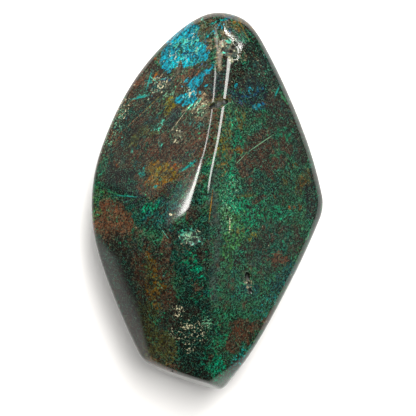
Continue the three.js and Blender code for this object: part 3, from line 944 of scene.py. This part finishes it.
def stoneMaterial(layers):
    material = bpy.data.materials.new("shattuckite")
    material.use_nodes = True
    tree = material.node_tree
    tree.nodes.clear()
    n = NodeMaker(tree)
    look = stoneLook

    # places in millimetres; each noise below is read at an offset of its own
    where = n.add("TexCoord", out=3) * (1000.0, 1000.0, 1000.0)
    parts = n.add("SeparateXYZ", values={0: where}, out=None)
    onRight = n.ramp(parts[0], -1.0, 3.0)
    onTop = n.ramp(parts[2], 12.0, 15.0)

    def drawnOut(turn, stretch):  # coordinates in which things are drawn out one way
        return n.add("Mapping", {"vector_type": "TEXTURE"}, {
            "Vector": where, "Rotation": (0.0, 0.0, math.radians(turn)),
            "Scale": (stretch, 1.0, 1.0)})

    turns, stretches = look["fibreTurns"], look["fibreStretches"]
    fibres = n.add("Mix", {"data_type": "FLOAT"}, {
        0: onRight, 2: n.noise(drawnOut(turns[0], stretches[0]), 1.4, 3, 0.65),
        3: n.noise(drawnOut(turns[1], stretches[1]), 1.4, 3, 0.65)})
    fleckA = n.noise(where, 1.1, 4, 0.7)
    fleckB = n.noise(where + (31.0, 7.0, 3.0), 2.4, 3, 0.7)
    broken = (fleckA - 0.5) * look["ragged"] + (fleckB - 0.5) * look["raggedFine"] \
        + (fibres - 0.5) * look["raggedFibres"]

    # the matrix that the patches lie in, and that shows all over the back
    zone = n.noise(where + (5.0, 90.0, 12.0), 0.11, 4, 0.62)
    zoneTwo = n.noise(where + (70.0, 20.0, 40.0), 0.14, 4, 0.62)
    colour = n.mix(n.ramp(zone, 0.42, 0.56), minerals["darkBrown"], minerals["green"])
    colour = n.mix(n.ramp(zoneTwo, 0.56, 0.64), colour, minerals["brown"])
    colour = n.mix(n.ramp(zoneTwo, 0.42, 0.34), colour, minerals["deepGreen"])
    colour = n.mix(n.ramp(zone, 0.64, 0.70) * 0.8, colour, minerals["teal"])
    colour = n.mix(n.ramp(zoneTwo, 0.70, 0.74), colour, minerals["blue"])

    for level in range(layers):
        lies = n.attribute("layer_%02d" % level)
        tint = n.attribute("tint_%02d" % level, out=0)
        colour = n.mix(n.ramp(lies + broken, -0.07, 0.10), colour, tint)

    # each patch turns towards teal, grey and brown from place to place
    drift = n.noise(where + (33.0, 12.0, 71.0), 0.6, 5, 0.7)
    colour = n.mix(n.ramp(drift, 0.54, 0.62) * look["drift"], colour, minerals["darkTeal"])
    colour = n.mix(n.ramp(drift, 0.45, 0.38) * look["drift"], colour, minerals["greyBrown"])

    # clusters of other minerals strewn through the patches
    cluster = n.noise(where + (9.0, 55.0, 2.0), 0.28, 2, 0.6)
    strewn = n.noise(where + (60.0, 5.0, 33.0), 1.0, 4, 0.75) + (cluster - 0.5) * 0.6 \
        + (fibres - 0.5) * 0.4
    colour = n.mix(n.ramp(strewn, 0.64, 0.70) * look["strewn"], colour, minerals["malachite"])
    strewn = n.noise(where + (14.0, 71.0, 20.0), 0.9, 4, 0.75) - (cluster - 0.5) * 0.6
    colour = n.mix(n.ramp(strewn, 0.61, 0.66) * look["strewn"], colour, minerals["brown"])
    colour = n.mix(n.ramp(strewn, 0.38, 0.33) * look["strewnDark"], colour, minerals["deepGreen"])

    # darker minerals and painted shade from the dark places, broad clouding, dark streaks, then
    # grains darker and paler than the mineral they lie in
    shade = n.attribute("shade") * look["brightness"]
    clouding = n.noise(where + (11.0, 3.0, 8.0), 0.7, 4, 0.65)
    shade = shade * n.between(clouding, 0.32, 0.68, *look["clouding"])
    shade = shade * n.between(fibres, 0.36, 0.64, *look["streaks"])
    hatch = n.noise(drawnOut(turns[0], look["hatchStretch"]), 2.4, 1, 0.6) \
        + n.noise(drawnOut(turns[1], look["hatchStretch"]), 2.4, 1, 0.6)
    grain = n.noise(where + (2.0, 44.0, 6.0), 2.1, 3, 0.75)
    seen = n.add("SeparateColor", values={0: colour}, out=None)
    grainy = n.between(seen[1] - seen[0] - seen[2] * 0.8, -0.02, 0.03, 0.45, 0.95) \
        * n.between(cluster, 0.4, 0.6, 0.75, 1.3)
    speckle = n.between(grain, 0.36, 0.64, -look["grains"], look["grains"]) \
        + n.between(hatch, 0.8, 1.2, -look["hatch"], look["hatch"])
    shade = shade * n.sum("MAXIMUM", 1.05 + speckle * grainy, 0.08)
    shade = n.add("CombineXYZ", values={0: shade, 1: shade, 2: shade})
    colour = n.mix(1.0, colour, shade, "MULTIPLY")

    # crumbs, then pale veins over them
    crumbs = n.noise(where + (21.0, 40.0, 3.0), 1.8, 3, 0.75)
    for mineral in crumbMinerals:
        share = n.attribute("crumbs_" + mineral)
        level = 0.72 - share * 0.36
        lies = n.ramp(crumbs - level, 0.0, 0.04) * n.ramp(share, 0.0, 0.1)
        colour = n.mix(lies * look["crumbs"], colour, minerals[mineral])
        crumbs = 1.0 - crumbs
    closely = n.attribute("veined")
    bend = n.noise(where, 0.9, 3, 0.6, out=1) * ((look["veinBend"],) * 3)
    cracks = n.add("TexVoronoi", {"feature": "DISTANCE_TO_EDGE"}, {
        "Vector": where + bend, "Scale": look["veinScale"]})
    shown = n.noise(where + (81.0, 2.0, 5.0), 0.8, 3, 0.6) + closely * 0.24
    shown = n.ramp(cracks - closely * 0.03, 0.075, 0.02) * n.ramp(shown, 0.66, 0.76)
    vein = n.mix(n.ramp(cluster, 0.45, 0.55), minerals["cream"], minerals["paleTeal"])
    vein = n.mix(n.ramp(closely, 0.9, 1.2) * 0.8, vein, minerals["paleGreen"])
    colour = n.mix(shown * look["veins"], colour, vein)

    # hair lines
    hair = n.noise(where + (7.0, 77.0, 1.0), 1.1, 2, 0.7)
    hair = n.ramp(n.add("Math", {"operation": "ABSOLUTE"}, {0: hair - 0.5}), 0.016, 0.004)
    colour = n.mix(hair * grainy * look["hairs"], colour, minerals["paleTeal"])

    for mineral in sorted({mark[5] for mark in fineMarks}):
        drawn = 0.0
        for x, y, length, width, turn, kind, strength, ragged in fineMarks:
            if kind == mineral:
                local = n.add("Mapping", {"vector_type": "TEXTURE"}, {
                    "Vector": where, "Location": (x, y, 0.0),
                    "Rotation": (0.0, 0.0, math.radians(turn)), "Scale": (length, width, 10000.0)})
                far = n.add("VectorMath", {"operation": "LENGTH"}, {0: local}, out=1)
                far = far + (fleckB - 0.45) * (ragged / width)
                drawn = n.sum("MAXIMUM", n.ramp(far, 1.1, 0.7) * strength, drawn)
        colour = n.mix(drawn * onTop, colour, minerals[mineral])

    # painted shade in the pits, painted black by their depth, then dark and pale grains over all
    painted_pit_shade = n.attribute("painted_pit_shade")
    colour = n.mix(n.ramp(painted_pit_shade + (fleckB - 0.5), 0.2, 0.5), colour, minerals["black"])
    dark = n.ramp(n.noise(where + (8.0, 1.0, 60.0), 2.0, 2, 0.7), 0.46, 0.40)
    colour = n.mix(dark * look["darkGrains"], colour, minerals["black"])
    pale = n.ramp(n.noise(where + (50.0, 31.0, 9.0), 2.7, 1, 0.7), 0.60, 0.67)
    colour = n.mix(pale * look["paleGrains"], colour, minerals["paleGreen"])
    colour = n.add("HueSaturation", {}, {"Saturation": look["saturation"], "Color": colour})

    rough = n.attribute("rough_place") * (look["matt"] - look["polish"])
    roughness = look["polish"] + n.ramp(grain, 0.35, 0.65) * look["polishVaries"] + rough
    bumps = n.add("Bump", {}, {
        "Strength": look["bump"], "Distance": look["bumpHeight"], "Height": grain})
    shader = n.add("BsdfPrincipled", {}, {
        "Base Color": colour, "Roughness": roughness, "Normal": bumps, "IOR": look["refraction"]})
    n.add("OutputMaterial", {}, {"Surface": shader}, out=None)
    return material


stone.data.materials.append(stoneMaterial(markLayers(stone.data)))
print("stone finished")


warmWhite = (1.0, 0.975, 0.945)

studio = {
    "floorColour": paint(243, 243, 243),
    "floorRoughness": 0.9,
    "floorHalf": 1.5,  # metres
    "floorDrop": 0.0002,
    "worldStrength": 0.05,
    "distance": 0.8,  # metres from the stone to each light
    # softboxes: directions from the stone to one end and the other, width in metres, brightness,
    # colour
    "softboxes": {
        "ridgeBox": ((0.25, 0.75, 0.60), (0.14, 0.0, 1.0), 0.31, 16.5, warmWhite),
        "secondBox": ((-0.57, 0.68, 0.47), (-0.80, 0.36, 0.48), 0.045, 16, warmWhite),
        "elbowBox": ((-0.77, 0.38, 0.51), (-0.78, -0.01, 0.62), 0.085, 24, warmWhite),
        "elbowCard": ((-0.81, 0.43, 0.41), (-0.83, -0.06, 0.56), 0.13, 0.9, warmWhite),
        "elbowGlow": ((-0.77, 0.44, 0.46), (-0.81, -0.03, 0.58), 0.08, 1.6, warmWhite),
        "wedgeCard": ((-0.47, 0.79, 0.39), (-0.41, 0.73, 0.54), 0.09, 5.0, (1.0, 0.96, 0.92)),
        "headBox": ((-0.08, 0.89, 0.45), (0.65, 0.65, 0.41), 0.016, 62, (1.0, 0.97, 0.94)),
        "leftCard": ((-0.75, 0.63, 0.22), (-0.95, 0.25, 0.17), 0.20, 0.4, (1.0, 0.97, 0.94)),
        "rightCard": ((0.82, -0.51, 0.28), (0.84, 0.45, 0.31), 0.35, 0.25, (0.97, 0.98, 1.0)),
    },
}


def addFloor():
    mesh = bpy.data.meshes.new("floor")
    s = studio["floorHalf"]
    mesh.from_pydata([(-s, -s, 0), (s, -s, 0), (s, s, 0), (-s, s, 0)], [], [(0, 1, 2, 3)])
    material = bpy.data.materials.new("floor")
    material.use_nodes = True
    shader = material.node_tree.nodes["Principled BSDF"]
    shader.inputs["Base Color"].default_value = studio["floorColour"]
    shader.inputs["Roughness"].default_value = studio["floorRoughness"]
    shader.inputs["Specular IOR Level"].default_value = 0.0
    mesh.materials.append(material)
    floor = bpy.data.objects.new("floor", mesh)
    floor.location.z = -studio["floorDrop"]
    scene.collection.objects.link(floor)


def addLights():
    world = bpy.data.worlds.new("studio")
    world.use_nodes = True
    sky = world.node_tree.nodes["Background"]
    sky.inputs["Strength"].default_value = studio["worldStrength"]
    sky.inputs["Color"].default_value = (1, 1, 1, 1)
    scene.world = world
    for name, (start, end, width, brightness, colour) in studio["softboxes"].items():
        start = Vector(start).normalized() * studio["distance"]
        end = Vector(end).normalized() * studio["distance"]
        place = (start + end) / 2
        out = place.normalized()
        along = (end - start - (end - start).project(out)).normalized()
        turn = Matrix((along.cross(out), along, out)).transposed()
        data = bpy.data.lights.new(name, "AREA")
        data.shape = "RECTANGLE"
        data.size, data.size_y = width, (end - start).length
        data.energy = brightness * math.pi * data.size * data.size_y
        data.color = colour
        light = bpy.data.objects.new(name, data)
        light.matrix_world = Matrix.Translation(place) @ turn.to_4x4()
        scene.collection.objects.link(light)


addFloor()
addLights()
print("studio lit")
